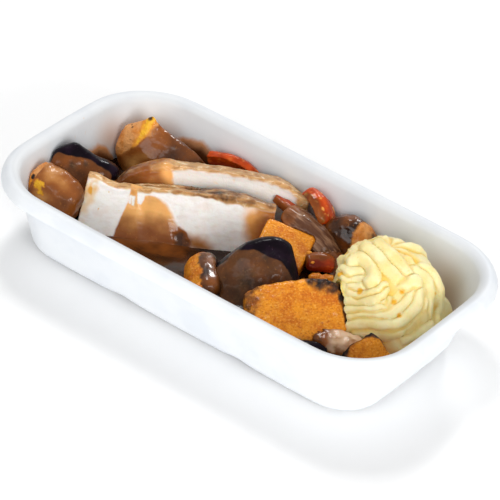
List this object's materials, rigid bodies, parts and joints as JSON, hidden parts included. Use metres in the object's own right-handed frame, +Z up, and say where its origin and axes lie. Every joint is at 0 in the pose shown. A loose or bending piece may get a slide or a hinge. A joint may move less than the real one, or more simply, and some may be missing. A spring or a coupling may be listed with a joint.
{
  "type": "roast chicken tray meal",
  "caption": "A roast chicken meal in one long moulded tray: sliced breast, roast vegetables in gravy and a scoop of mashed potato.",
  "frame": {"origin": "middle of the tray's flat underside, which is the middle of the object's footprint", "axes": "+X runs along the tray towards the end with the mashed potato, +Z points up, and +Y points to the long side that the chicken leans towards"},
  "size_m": [0.23, 0.128, 0.0457],
  "materials": {
    "moulded_white": "smooth matte white moulded tray",
    "chicken": "pale moist roast chicken breast with golden skin",
    "squash": "roast squash, browned and charred at its edges",
    "aubergine": "roast aubergine, dark skin and gravy-brown flesh",
    "pepper": "roast red pepper, soft and glazed",
    "onion": "translucent brown roast onion",
    "mash": "creamy mashed potato with soft ridges",
    "gravy": "brown gravy, glossy"
  },
  "bodies": {
    "root": {"tray": "moulded_white", "gravy": "gravy", "chicken_front": "chicken", "chicken_back": "chicken", "chicken_scrap": "chicken", "mash": "mash", "squash_front": "squash", "squash_flat": "squash", "squash_glazed": "squash", "squash_left": "squash", "squash_back_left": "squash", "squash_back_right": "squash", "squash_crumb": "squash", "squash_right": "squash", "aubergine_centre": "aubergine", "aubergine_left": "aubergine", "aubergine_peel": "aubergine", "pepper_right": "pepper", "pepper_strip": "pepper", "pepper_back": "pepper", "pepper_small": "pepper", "onion_upper": "onion", "onion_lower": "onion"}
  },
  "joints": []
}
